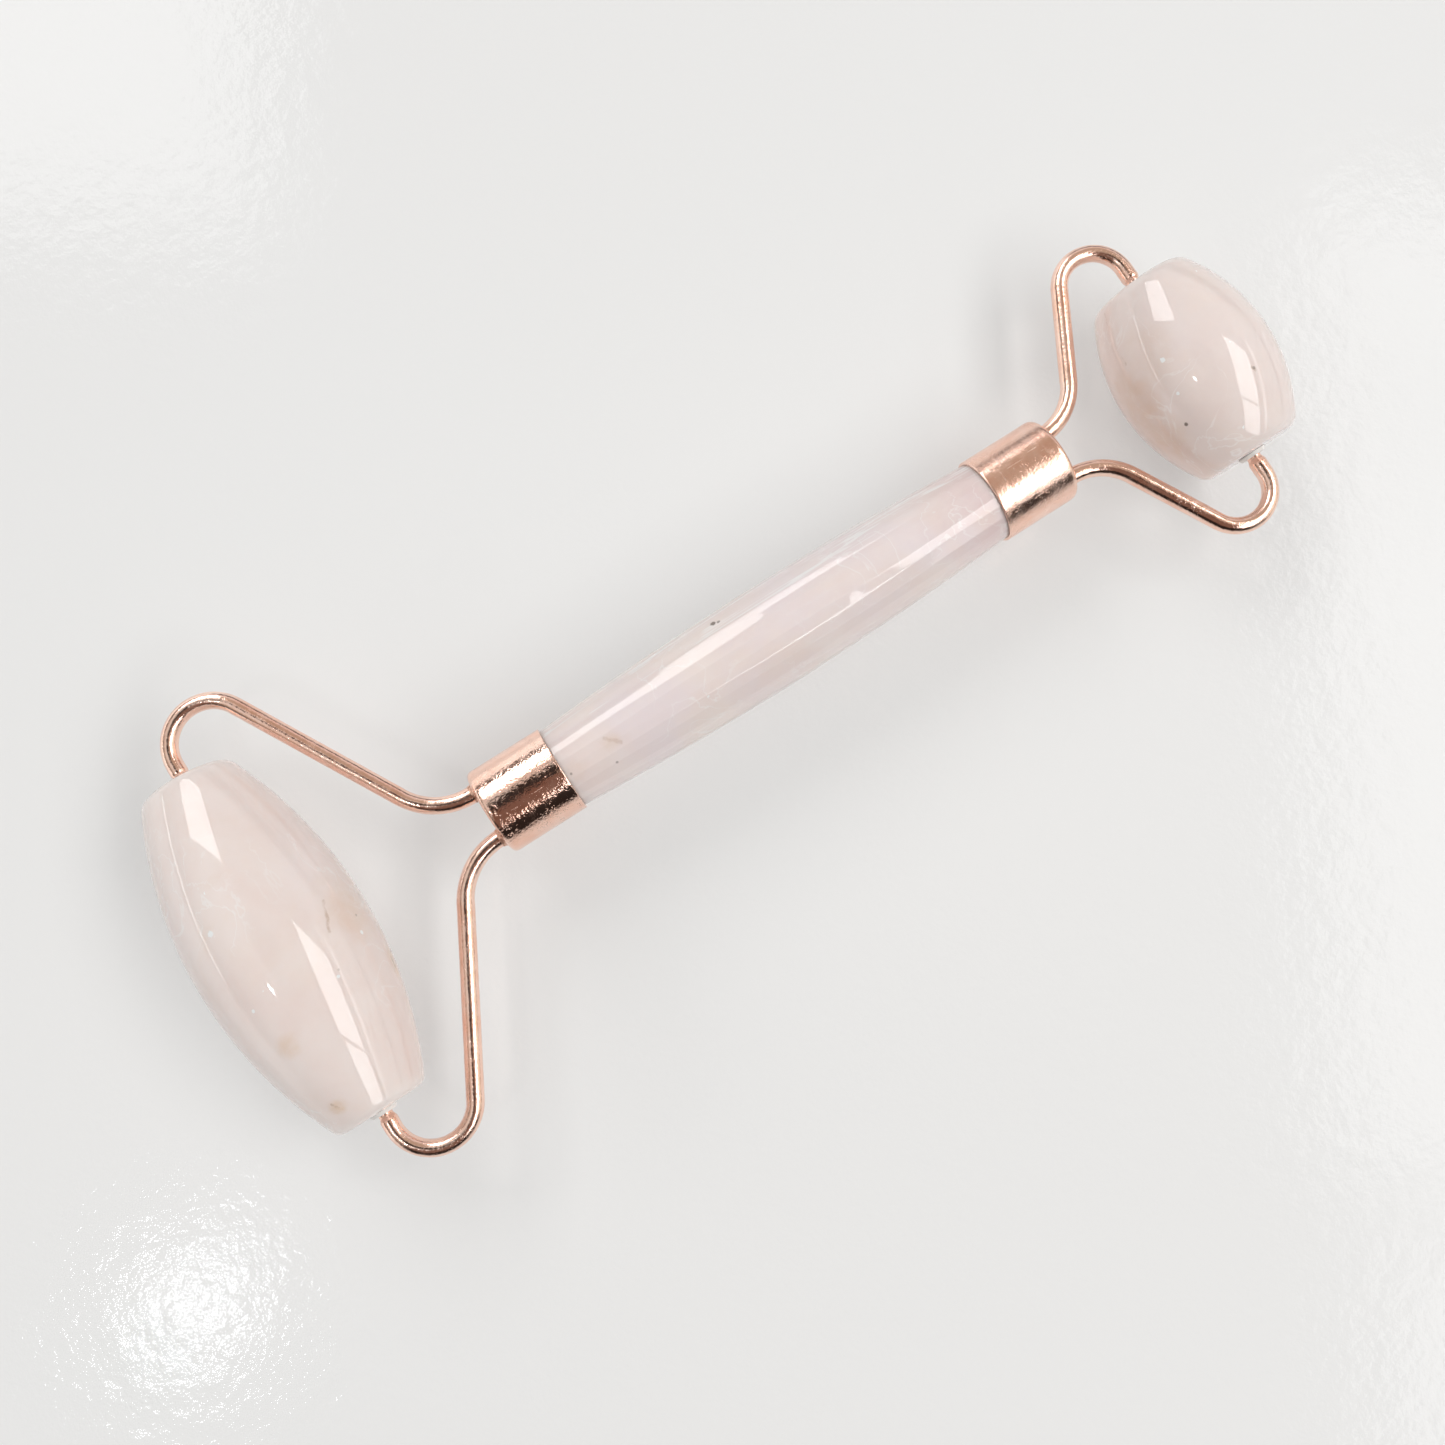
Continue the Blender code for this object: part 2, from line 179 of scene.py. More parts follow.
class Look:
    """A procedural material, with short names for the nodes it is made of."""

    def __init__(self, name):
        self.material = bpy.data.materials.new(name)
        self.material.use_nodes = True
        self.tree = self.material.node_tree
        self.shader = self.tree.nodes["Principled BSDF"]
        self._object = None

    def node(self, kind, inputs=None, **settings):
        made = self.tree.nodes.new(kind)
        for key, value in settings.items():
            setattr(made, key, value)
        for key, value in (inputs or {}).items():
            self.feed(made.inputs[key], value)
        return made

    def feed(self, socket, value):
        if isinstance(value, bpy.types.NodeSocket):
            self.tree.links.new(value, socket)
        elif isinstance(value, (tuple, list, Vector)) and len(value) == 3 and socket.type == "RGBA":
            socket.default_value = (*value, 1.0)
        else:
            socket.default_value = value

    def set(self, **sockets):
        """Sets shader sockets; underscores stand for spaces."""
        for key, value in sockets.items():
            self.feed(self.shader.inputs[key.replace("_", " ")], value)
        return self

    def place(self):
        """The piece's own coordinates, in millimetres."""
        if self._object is None:
            coords = self.node("ShaderNodeTexCoord").outputs["Object"]
            self._object = self.vector("SCALE", coords, Scale=1 / MM)
        return self._object

    def attribute(self, name, output="Vector"):
        return self.node("ShaderNodeAttribute", attribute_name=name).outputs[output]

    def vector(self, operation, a, b=None, **more):
        made = self.node("ShaderNodeVectorMath", operation=operation)
        self.feed(made.inputs[0], a)
        if b is not None:
            self.feed(made.inputs[1], b)
        for key, value in more.items():
            self.feed(made.inputs[key], value)
        scalar = operation in ("LENGTH", "DISTANCE", "DOT_PRODUCT")
        return made.outputs["Value" if scalar else "Vector"]

    def math(self, operation, a, b=None, c=None):
        made = self.node("ShaderNodeMath", operation=operation)
        for socket, value in zip(made.inputs, (a, b, c)):
            if value is not None:
                self.feed(socket, value)
        return made.outputs[0]

    def noise(self, where, scale, detail=3.0, roughness=0.5, distortion=0.0, colour=False):
        made = self.node(
            "ShaderNodeTexNoise",
            {
                "Vector": where,
                "Scale": scale,
                "Detail": detail,
                "Roughness": roughness,
                "Distortion": distortion,
            },
        )
        return made.outputs["Color" if colour else "Fac"]

    def cells(self, where, scale, output="Distance"):
        inputs = {"Vector": where, "Scale": scale}
        return self.node("ShaderNodeTexVoronoi", inputs).outputs[output]

    def between(self, value, low, high, to_low=0.0, to_high=1.0):
        """value eased from low..high to to_low..to_high, clamped."""
        inputs = {
            "Value": value,
            "From Min": low,
            "From Max": high,
            "To Min": to_low,
            "To Max": to_high,
        }
        kind = "ShaderNodeMapRange"
        return self.node(kind, inputs, interpolation_type="SMOOTHSTEP").outputs["Result"]

    def ramp(self, value, *stops):
        made = self.node("ShaderNodeValToRGB", {"Fac": value})
        elements = made.color_ramp.elements
        while len(elements) < len(stops):
            elements.new(0.5)
        for element, (position, colour) in zip(elements, stops):
            element.position = position
            element.color = (*colour, 1.0)
        return made.outputs["Color"]

    def mix(self, factor, a, b):
        made = self.node("ShaderNodeMix", data_type="RGBA")
        self.feed(made.inputs["Factor"], factor)
        self.feed(made.inputs[6], a)
        self.feed(made.inputs[7], b)
        return made.outputs[2]

    def bump(self, height, strength, distance):
        inputs = {"Height": height, "Strength": strength, "Distance": distance}
        return self.node("ShaderNodeBump", inputs).outputs["Normal"]

    def squeezed(self, where, *scales):
        return self.vector("MULTIPLY", where, scales)

    def spot(self, where, centre, size, softness=0.5, shake=0.0, scale=1.0):
        """1 inside a blotch round centre (millimetres), 0 outside, with a ragged edge."""
        distance = self.vector("DISTANCE", self.vector("DIVIDE", where, size), Vector(
            [c / s for c, s in zip(centre, size)]
        ))
        if shake:
            ragged = self.math("SUBTRACT", self.noise(where, scale, 4, 0.6), 0.5)
            distance = self.math("MULTIPLY_ADD", ragged, shake, distance)
        return self.between(distance, 1 - softness, 1, 1, 0)

    def most(self, *masks):
        total = masks[0]
        for mask in masks[1:]:
            total = self.math("MAXIMUM", total, mask)
        return total


def line_mask(look, where, start, end, width, shake=0.0, scale=1.0):
    """1 on a line between two points (millimetres), fading to 0 at width from it."""
    start, end = Vector(start), Vector(end)
    along = end - start
    if shake:
        ragged = look.noise(where, scale, 3, 0.6, colour=True)
        ragged = look.vector("SUBTRACT", ragged, (0.5, 0.5, 0.5))
        where = look.vector("ADD", where, look.vector("SCALE", ragged, Scale=shake))
    reach = look.vector("SUBTRACT", where, start)
    share = look.vector("DOT_PRODUCT", reach, along / along.length_squared)
    share = look.math("MINIMUM", look.math("MAXIMUM", share, 0.0), 1.0)
    foot = look.vector("SCALE", tuple(along), Scale=share)
    distance = look.vector("DISTANCE", reach, foot)
    return look.between(distance, 0.15 * width, width, 1, 0)


def quartz(
    name, seed, mauve, stain_spots, cracks, specks, painted_glints=(), painted_ferrule_reflections=(),
    lapping=(3, 3, 0.3), warmth=0.35, depth=0.0, reach=4.0, painted_edge_highlights=0.0,
):
    """Polished rose quartz: milky and cloudy, with veils, rust stains, specks and painted glints.
    """
    look = Look(name)
    place = look.vector("ADD", look.place(), (13.0 * seed, -7.0 * seed, 5.0 * seed))
    own = look.place()

    clouds = look.noise(place, 0.11, 6, 0.55, 0.7)
    fine = look.noise(place, 0.55, 5, 0.6, 0.4)
    milk = look.between(clouds, 0.32, 0.68)
    colour = look.mix(milk, PINK, MILK)
    tint = look.between(look.noise(place, 0.07, 3, 0.5, 0.5), 0.42, 0.66, 0, mauve)
    colour = look.mix(tint, colour, MAUVE)
    colour = look.mix(depth, colour, DEEP)
    # Near the ferrules the stone is painted darker and pinker: a painted reflection of their rose
    # gold
    for centre, size, strength in painted_ferrule_reflections:
        mask = look.spot(own, centre, size, 0.9, 0.5, 0.3)
        colour = look.mix(look.math("MULTIPLY", mask, strength), colour, FERRULE_REFLECTION_PAINT)
    warm = look.between(look.noise(place, 0.16, 4, 0.6, 1.2), 0.5, 0.75, 0, warmth)
    colour = look.mix(warm, colour, WARM)
    colour = look.mix(look.between(fine, 0.4, 0.75, 0, 0.28), colour, MILK)

    # Healed fractures show as thin wavy veils, brighter than the stone
    ridge = look.math("ABSOLUTE", look.math("SUBTRACT", look.noise(place, 0.13, 4, 0.5, 1.4), 0.5))
    where_veils = look.between(look.noise(place, 0.06, 2), 0.45, 0.6)
    veil = look.math("MULTIPLY", look.between(ridge, 0.0, 0.016, 0.5, 0.0), where_veils)
    colour = look.mix(veil, colour, VEIL)

    # Rust has crept in, in patches and at listed spots
    rust_field = look.noise(place, 0.32, 6, 0.66, 1.0)
    rust_where = look.between(look.noise(place, 0.045, 2), 0.6, 0.78)
    rust = look.math("MULTIPLY", look.between(rust_field, 0.52, 0.72, 0, 0.6), rust_where)
    for centre, size, strength in stain_spots:
        mask = look.spot(own, centre, size, 0.75, 0.9, 0.45)
        ragged = look.between(rust_field, 0.3, 0.66, 0.3, 1.0)
        mask = look.math("MULTIPLY", look.math("MULTIPLY", mask, ragged), strength)
        rust = look.most(rust, mask)
    colour = look.mix(rust, colour, RUST)

    if painted_edge_highlights:
        # Thin pale lines painted along one side: painted highlights where light catches the edges
        # of ground facets
        lines = look.noise(look.squeezed(look.attribute("sweep"), 1.0, 1.0, 0.018), 1.0, 2, 0.4)
        lines = look.math("FRACT", look.math("MULTIPLY", lines, 3.6))
        lines = look.math("ABSOLUTE", look.math("SUBTRACT", lines, 0.5))
        lines = look.between(lines, 0.07, 0.13, painted_edge_highlights, 0)
        side = look.node("ShaderNodeSeparateXYZ", {"Vector": own}).outputs["Y"]
        broken = look.noise(look.squeezed(own, 0.09, 0.9, 0.9), 1.0, 3, 0.6)
        broken = look.between(broken, 0.44, 0.56)
        where = look.math("MULTIPLY", look.between(side, 1.7, 3.4), broken)
        colour = look.mix(look.math("MULTIPLY", lines, where), colour, VEIL)

    for start, end, width, strength in cracks:
        mask = line_mask(look, own, start, end, width, 0.7, 0.9)
        broken = look.between(look.noise(own, 1.1, 3, 0.6), 0.3, 0.6, 0.25, 1)
        mask = look.math("MULTIPLY", look.math("MULTIPLY", mask, broken), strength)
        colour = look.mix(mask, colour, CRACK)

    # Dark mineral specks, scattered and in known places
    cell = look.cells(place, 0.19)
    chance = look.vector("DOT_PRODUCT", look.cells(place, 0.19, "Color"), (1, 0, 0))
    size = look.between(look.noise(place, 3.0, 2), 0.35, 0.7, 0.012, 0.035)
    dots = look.math("LESS_THAN", cell, size)
    dots = look.math("MULTIPLY", dots, look.between(chance, 0.70, 0.71))
    for centre, radius, strength in specks:
        mask = look.spot(own, centre, (radius, radius, radius), 0.5, 0.9, 3.0)
        dots = look.most(dots, look.math("MULTIPLY", mask, strength))
    colour = look.mix(look.math("MULTIPLY", dots, 0.8), colour, SPECK)

    # Painted highlights: white spots painted in where tiny internal fracture faces would flash,
    # scattered and at listed places
    glint_cell = look.cells(place, 0.33)
    glint_chance = look.vector("DOT_PRODUCT", look.cells(place, 0.33, "Color"), (0, 1, 0))
    shape = look.between(look.noise(place, 4.5, 2, 0.7), 0.3, 0.7, 0.02, 0.09)
    painted_glint_mask = look.math("LESS_THAN", glint_cell, shape)
    painted_glint_mask = look.math("MULTIPLY", painted_glint_mask, look.between(glint_chance, 0.86, 0.87))
    for centre, radius in painted_glints:
        mask = look.spot(own, centre, (radius, radius, radius), 0.35, 1.1, 2.6)
        painted_glint_mask = look.most(painted_glint_mask, mask)
    colour = look.mix(painted_glint_mask, colour, PAINTED_GLINT_WHITE)

    gloss = look.noise(place, 0.28, 4, 0.6, 0.6)
    haze = look.between(gloss, 0.42, 0.72, QUARTZ_GLOSS, QUARTZ_HAZE)
    lines = look.noise(look.squeezed(look.attribute("sweep"), *lapping), 1.0, 2, 0.6)
    haze = look.math("ADD", haze, look.between(lines, 0.6, 0.8, 0, 0.03))
    haze = look.math("MULTIPLY_ADD", look.attribute("wear", "Fac"), 0.10, haze)
    height = look.math("MULTIPLY_ADD", lines, 0.25, look.noise(place, 1.3, 3, 0.5))
    pit_cell = look.cells(place, 0.9)
    pit_chance = look.vector("DOT_PRODUCT", look.cells(place, 0.9, "Color"), (0, 0, 1))
    pits = look.between(pit_cell, 0.03, 0.07, 1, 0)
    pits = look.math("MULTIPLY", pits, look.between(pit_chance, 0.9, 0.91))
    height = look.math("SUBTRACT", height, look.math("MULTIPLY", pits, 3.0))
    look.set(
        Base_Color=colour,
        Roughness=haze,
        Normal=look.bump(height, 0.15, 0.004 * MM),
        IOR=1.544,
        Subsurface_Weight=1.0,
        Subsurface_Radius=(1.0, 0.97, 0.96),
        Subsurface_Scale=reach * MM,
    )
    look.shader.subsurface_method = "RANDOM_WALK"
    return look.material


def rose_gold(name, seed, drawn, pitting, satin, peel=1.0, sand=1.0):
    """Plated rose gold: drawing lines, orange peel, pits, scuffs and tarnish in patches."""
    look = Look(name)
    place = look.vector("ADD", look.place(), (9.0 * seed, 4.0 * seed, -6.0 * seed))
    sweep = look.attribute("sweep")
    wear = look.attribute("wear", "Fac")

    patches = look.noise(place, 0.35, 5, 0.6, 0.8)
    colour = look.mix(look.between(patches, 0.35, 0.7), GOLD_PINK, GOLD_WARM)
    tarnish = look.between(look.noise(place, 0.9, 5, 0.7, 0.6), 0.56, 0.74, 0, 0.5)
    colour = look.mix(tarnish, colour, GOLD_DARK)
    colour = look.mix(look.math("MULTIPLY", wear, 0.5), colour, GOLD_WORN)

    lines = look.noise(look.squeezed(sweep, *drawn), 1.0, 3, 0.65)
    scratch = look.noise(look.squeezed(sweep, 6.0, 6.0, 0.25), 1.0, 2, 0.5, 0.6)
    scratch = look.between(scratch, 0.70, 0.74)
    grain = look.noise(place, 2.5, 2, 0.55)
    orange = look.noise(place, 1.5, 2, 0.5)
    pitted = look.between(look.noise(place, 0.22, 3, 0.55), 0.46, 0.62)
    cell = look.cells(place, 4.6)
    chance = look.vector("DOT_PRODUCT", look.cells(place, 4.6, "Color"), (0, 1, 0))
    pits = look.between(cell, 0.15, 0.42, 1, 0)
    pits = look.math("MULTIPLY", pits, look.between(chance, 0.42, 0.46))
    pits = look.math("MULTIPLY", pits, pitted)

    haze = look.between(look.noise(place, 0.5, 4, 0.65, 0.5), 0.38, 0.7, 0.08 + satin, 0.2 + satin)
    haze = look.math("MULTIPLY_ADD", look.between(lines, 0.5, 0.8), 0.06, haze)
    haze = look.math("MULTIPLY_ADD", scratch, 0.12, haze)
    haze = look.math("MULTIPLY_ADD", tarnish, 0.12, haze)
    height = look.math("MULTIPLY", orange, 2.2 * peel)
    height = look.math("MULTIPLY_ADD", lines, 0.5, height)
    height = look.math("MULTIPLY_ADD", grain, 4.2 * sand, height)
    height = look.math("MULTIPLY_ADD", scratch, -0.5, height)
    height = look.math("MULTIPLY_ADD", pits, -3.5 * pitting, height)
    look.set(
        Base_Color=colour,
        Metallic=1.0,
        Roughness=haze,
        Normal=look.bump(height, 0.6, 0.010 * MM),
    )
    return look.material


def braze_metal(name, seed):
    """A brazed fillet under the plating: lumpy, duller, with flux stains in patches."""
    look = Look(name)
    place = look.vector("ADD", look.place(), (5.0 * seed, -3.0 * seed, 2.0 * seed))
    mottled = look.noise(place, 1.4, 5, 0.65, 0.8)
    colour = look.ramp(mottled, (0.3, BRAZE_FLUX), (0.5, BRAZE_DULL), (0.8, BRAZE_BRIGHT))
    haze = look.between(look.noise(place, 2.4, 4, 0.6), 0.3, 0.7, 0.22, 0.5)
    height = look.math("MULTIPLY_ADD", look.noise(place, 7.0, 3, 0.6), 0.35, mottled)
    look.set(Base_Color=colour, Metallic=1.0, Roughness=haze)
    look.set(Normal=look.bump(height, 0.6, 0.05 * MM))
    return look.material


def nylon_plastic(name, seed):
    """Natural nylon, turned: milky, faintly ringed, and greyer where metal rubs on it."""
    look = Look(name)
    place = look.vector("ADD", look.place(), (3.0 * seed, 6.0 * seed, 1.0 * seed))
    sweep = look.attribute("sweep")
    mottled = look.noise(place, 0.8, 4, 0.6)
    colour = look.mix(mottled, NYLON_PALE, NYLON_DEEP)
    rubbed = look.between(look.attribute("wear", "Fac"), 0.3, 1.0, 0, 0.5)
    colour = look.mix(rubbed, colour, NYLON_RUBBED)
    rings = look.noise(look.squeezed(sweep, 0.2, 0.2, 16), 1.0, 2, 0.5)
    haze = look.between(mottled, 0.3, 0.7, 0.30, 0.44)
    look.set(Base_Color=colour, Roughness=haze, Normal=look.bump(rings, 0.4, 0.01 * MM))
    look.set(Subsurface_Weight=1.0, Subsurface_Radius=(1, 0.96, 0.93), Subsurface_Scale=0.25 * MM)
    return look.material


def epoxy_resin(name, seed):
    """Clear-set epoxy gone faintly amber, with dust and bubbles in it."""
    look = Look(name)
    place = look.vector("ADD", look.place(), (2.0 * seed, 8.0 * seed, 4.0 * seed))
    mottled = look.noise(place, 1.1, 5, 0.65, 0.5)
    colour = look.ramp(mottled, (0.3, EPOXY_AMBER), (0.55, EPOXY_MIDDLE), (0.75, EPOXY_PALE))
    bubbles = look.between(look.cells(place, 3.5), 0.1, 0.2, 1, 0)
    colour = look.mix(look.math("MULTIPLY", bubbles, 0.5), colour, EPOXY_BUBBLE)
    haze = look.between(look.noise(place, 2.5, 3), 0.3, 0.7, 0.12, 0.34)
    look.set(Base_Color=colour, Roughness=haze, IOR=1.55)
    look.set(Normal=look.bump(look.math("SUBTRACT", mottled, bubbles), 0.5, 0.03 * MM))
    return look.material


# Linear colours of the stone, from its clear pink ground to what is grown into it, with a painted
# reflection tint and a painted glint white among them
PINK = (0.875, 0.758, 0.715)
MILK = (0.905, 0.805, 0.765)
MAUVE = (0.865, 0.775, 0.78)
WARM = (0.885, 0.77, 0.70)
# A darker, pinker tint: painted reflection of the rose-gold ferrules
FERRULE_REFLECTION_PAINT = (0.79, 0.625, 0.62)
VEIL = (0.97, 0.93, 0.91)
DEEP = (0.74, 0.64, 0.60)
RUST = (0.78, 0.60, 0.45)
CRACK = (0.50, 0.36, 0.26)
SPECK = (0.16, 0.11, 0.08)
# White painted in for glints: a painted highlight
PAINTED_GLINT_WHITE = (0.98, 0.98, 0.96)
QUARTZ_GLOSS = 0.015
QUARTZ_HAZE = 0.06

GOLD_PINK = (0.98, 0.695, 0.58)
GOLD_WARM = (0.95, 0.605, 0.475)
GOLD_DARK = (0.72, 0.42, 0.33)
GOLD_WORN = (0.98, 0.735, 0.62)

BRAZE_FLUX = (0.34, 0.17, 0.12)
BRAZE_DULL = (0.80, 0.49, 0.37)
BRAZE_BRIGHT = (0.92, 0.63, 0.50)

NYLON_PALE = (0.94, 0.90, 0.87)
NYLON_DEEP = (0.90, 0.85, 0.81)
NYLON_RUBBED = (0.78, 0.71, 0.66)

EPOXY_AMBER = (0.60, 0.44, 0.37)
EPOXY_MIDDLE = (0.76, 0.62, 0.56)
EPOXY_PALE = (0.86, 0.77, 0.71)
EPOXY_BUBBLE = (0.78, 0.72, 0.66)

# The photograph is taken from overhead, with its right turned this far from +X
PICTURE_TURN = math.radians(-32.76)

# ---------------------------------------------------------------- stones

STONE_STEPS = 240
STONE_CORNER = 0.9 * MM
BORE_RADIUS = 1.3 * MM
BORE_CHAMFER = 0.2 * MM
# How far each stone's radius falls from its belly to its end
LARGE_STONE_SAG = 4.78 * MM
SMALL_STONE_SAG = 3.53 * MM


def stone_profile(half, radius, sag):
    """A barrel: one long arc, rounded corners, flat ends and a chamfered bore."""
    sweep = (half * half + sag * sag) / (2 * sag)
    middle = radius - sweep

    def on_arc(height):
        return middle + math.sqrt(sweep * sweep - height * height)

    top = half - STONE_CORNER
    profile = Profile().add(BORE_RADIUS, 0.0)
    profile.line(BORE_RADIUS, half - BORE_CHAMFER, 8)
    profile.round((BORE_RADIUS, half), (BORE_RADIUS + BORE_CHAMFER, half), 5)
    flat_end = on_arc(half) - STONE_CORNER
    profile.line(flat_end, half, 8)
    profile.round((on_arc(half), half), (on_arc(top), top), 10, 0.7)
    steps = 56
    for i in range(1, steps + 1):
        height = top * (1 - i / steps)
        profile.add(on_arc(height), height)
    return profile.mirrored()


def build_stone(end, axle, sag, look, seed):
    low, high, _ = node_extent(f"{end}_roller", axle, Y_AXIS)
    half = (high - low) / 2
    # The stone lies on the table, so its belly is as far from its axle as the table is
    profile = stone_profile(half, axle.z, sag)

    def ripple(angle, height, ring):
        """Hand lapping leaves it a few microns out of round, and never fuller than it should be."""
        where = (ring * math.cos(angle), height, ring * math.sin(angle))
        slow = wobble(where, 5.2, seed)
        fast = wobble((where[0], where[1] * 0.35, where[2]), 1.9, seed + 3)
        return -0.009 * MM * (1 + slow) - 0.0022 * MM * (1 + fast)

    name = f"{end}_stone_barrel"
    stone = turned(name, profile, axle, Y_AXIS, Z_AXIS, look, STONE_STEPS, True, ripple)
    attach(stone, f"{end}_stone")
    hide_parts(f"{end}_roller")


large_look = quartz(
    "large_stone_quartz",
    stain_spots=(
        ((-53.5, -1.0, 14.5), (4.2, 5.5, 5.0), 0.34),
        ((-65.0, -10.5, 18.6), (2.2, 1.8, 2.0), 0.45),
        ((-52.8, -8.2, 10.6), (0.8, 2.6, 2.0), 0.75),
        ((-64.3, -18.6, 16.2), (1.5, 1.2, 1.4), 0.7),
        ((-58.0, 12.0, 4.0), (5.0, 4.0, 3.0), 0.5),
    ),
    cracks=(
        ((-54.5, 0.9, 16.7), (-55.4, -2.4, 17.6), 0.26, 0.5),
        ((-52.9, -7.4, 10.8), (-52.8, -10.2, 10.0), 0.26, 0.7),
        ((-64.9, -18.0, 16.4), (-63.9, -19.2, 16.0), 0.3, 0.8),
    ),
    specks=(((-52.9, -2.0, 13.9), 0.22, 0.4), ((-56.6, -6.4, 18.0), 0.2, 0.3)),
    # Painted glints: white spots painted where the stone flashes
    painted_glints=(
        ((-65.7, 4.0, 19.6), 0.42),
        ((-66.1, -5.4, 19.3), 0.26),
        ((-53.2, -4.0, 14.4), 0.28),
        ((-56.9, -7.0, 18.2), 0.24),
    ),
    mauve=0.25,
    seed=0.3,
)
small_look = quartz(
    "small_stone_quartz",
    stain_spots=(
        ((54.0, 0.2, 11.6), (3.0, 7.0, 4.6), 0.42),
        ((54.6, -5.6, 11.4), (3.2, 4.4, 4.4), 0.46),
        ((56.5, 3.2, 15.0), (4.2, 5.2, 4.2), 0.22),
        ((70.0, 3.0, 5.0), (3.0, 5.0, 4.0), 0.4),
    ),
    cracks=(
        ((57.0, 11.0, 11.6), (54.9, 4.3, 13.1), 0.22, 0.45),
        ((64.5, -4.3, 18.2), (64.9, -4.9, 18.0), 0.25, 0.6),
    ),
    specks=(((56.1, -5.5, 14.6), 0.30, 1.0), ((64.7, -4.5, 18.1), 0.24, 0.6)),
    # Painted glints: white spots painted where the stone flashes
    painted_glints=(((57.2, 2.0, 16.6), 0.34), ((56.7, -2.1, 16.1), 0.24)),
    mauve=0.3,
    depth=0.25,
    seed=1.7,
)
build_stone("large", large_axle, LARGE_STONE_SAG, large_look, 4.0)
build_stone("small", small_axle, SMALL_STONE_SAG, small_look, 9.0)

# ---------------------------------------------------------------- handle

HANDLE_STEPS = 420
HANDLE_MIDDLE_RADIUS = 6.0 * MM
HANDLE_SHOULDER_RADIUS = 4.95 * MM
TENON_RADIUS = 4.35 * MM
TENON_CHAMFER = 0.4 * MM
# Round the handle, in degrees
WIDEST_FLAT = 13.0
NARROWEST_FLAT = 6.0
SEAT = 0.1 * MM

large_face, large_lip, FERRULE_RADIUS = node_extent("large_ferrule", large_axle, handle_along)
small_lip, small_face, _ = node_extent("small_ferrule", large_axle, handle_along)
handle_low, handle_high, _ = node_extent("handle", large_axle, handle_along)
handle_middle = large_axle + handle_along * (large_lip + small_lip) / 2
visible_half = (small_lip - large_lip) / 2 - SEAT
tenon_end = (handle_high - handle_low) / 2


def handle_profile():
    bulge = HANDLE_MIDDLE_RADIUS - HANDLE_SHOULDER_RADIUS
    edge = 0.05 * MM
    lip_height = visible_half + 0.08 * MM
    profile = Profile().add(0.0, tenon_end).add(TENON_RADIUS - TENON_CHAMFER, tenon_end)
    profile.round((TENON_RADIUS, tenon_end), (TENON_RADIUS, tenon_end - TENON_CHAMFER), 4)
    profile.line(TENON_RADIUS, lip_height, 6)
    profile.line(HANDLE_SHOULDER_RADIUS - edge, lip_height, 3)
    shoulder = (HANDLE_SHOULDER_RADIUS, lip_height)
    profile.round(shoulder, (HANDLE_SHOULDER_RADIUS + 0.01 * MM, lip_height - edge), 4)
    steps = 90
    for i in range(1, steps + 1):
        height = (lip_height - edge) * (1 - i / steps)
        share = height / lip_height
        profile.add(HANDLE_SHOULDER_RADIUS + bulge * (1 - share * share), height)
    return profile.mirrored()


def around(angle):
    """An angle brought to between minus and plus half a turn."""
    return (angle + math.pi) % (2 * math.pi) - math.pi


def handle_flats():
    """Where each long flat lies round the handle and how wide it is, narrowest on one side."""
    flats = []
    angle = 0.0
    while angle < 2 * math.pi - 0.06:
        narrow = math.exp(-((around(angle - FINEST_FLATS) / 0.6) ** 2))
        uneven = 1 + 0.7 * noise.noise(Vector((len(flats) * 1.7, 0.3, 0.9)))
        width = WIDEST_FLAT - (WIDEST_FLAT - NARROWEST_FLAT) * narrow
        width = math.radians(width) * uneven
        flats.append((angle + width / 2, width))
        angle += width
    return flats


def handle_ripple(angle, height, ring):
    """Lapping by hand leaves long flats that widen and narrow, with edges just rounded."""
    total = 0.0
    for index, (middle, width) in enumerate(FLATS):
        away = around(angle - middle)
        if abs(away) > 2.5 * width:
            continue
        swing = noise.noise(Vector((index * 2.3, 0.7, height / (15 * MM))))
        deep = ring * width * width / 8 * (0.9 + 1.3 * swing)
        total += math.exp(-((ring - deep) / math.cos(away) - ring) / EDGE_SOFTNESS)
    side = (1.6 * math.cos(angle), 1.6 * math.sin(angle) - 5)
    slow = noise.noise(Vector((*side, height / (14 * MM))))
    return -EDGE_SOFTNESS * math.log(total) - 0.006 * MM * (1 + slow)


# The angle round the handle, from straight up, where its flats are narrowest
FINEST_FLATS = -0.8
EDGE_SOFTNESS = 0.005 * MM
FLATS = handle_flats()

handle_look = quartz(
    "handle_quartz",
    stain_spots=(
        ((-19.0, -1.0, 15.1), (1.6, 1.2, 1.2), 0.3),
        ((-24.0, -1.6, 14.6), (2.0, 2.0, 2.0), 0.2),
        ((30.5, -2.2, 14.0), (2.2, 1.6, 2.0), 0.25),
    ),
    cracks=(((-19.4, -0.2, 15.2), (-18.0, -1.7, 15.1), 0.30, 0.32),),
    specks=(
        ((-2.1, 4.3, 13.9), 0.42, 1.0),
        ((-1.5, 4.1, 14.1), 0.26, 0.8),
        ((-19.6, -3.2, 14.1), 0.22, 0.6),
        ((-24.6, -1.6, 14.6), 0.20, 0.6),
    ),
    # Painted reflection of the ferrules, darker and pinker towards each end
    painted_ferrule_reflections=(
        ((-27.0, 0.0, 10.0), (11.0, 9.0, 9.0), 0.5),
        ((35.0, 0.0, 9.6), (15.0, 12.0, 12.0), 0.95),
    ),
    mauve=0.85,
    lapping=(5, 5, 0.12),
    warmth=0.0,
    reach=1.5,
    # Painted highlight lines along one side of the handle
    painted_edge_highlights=0.75,
    seed=3.1,
)
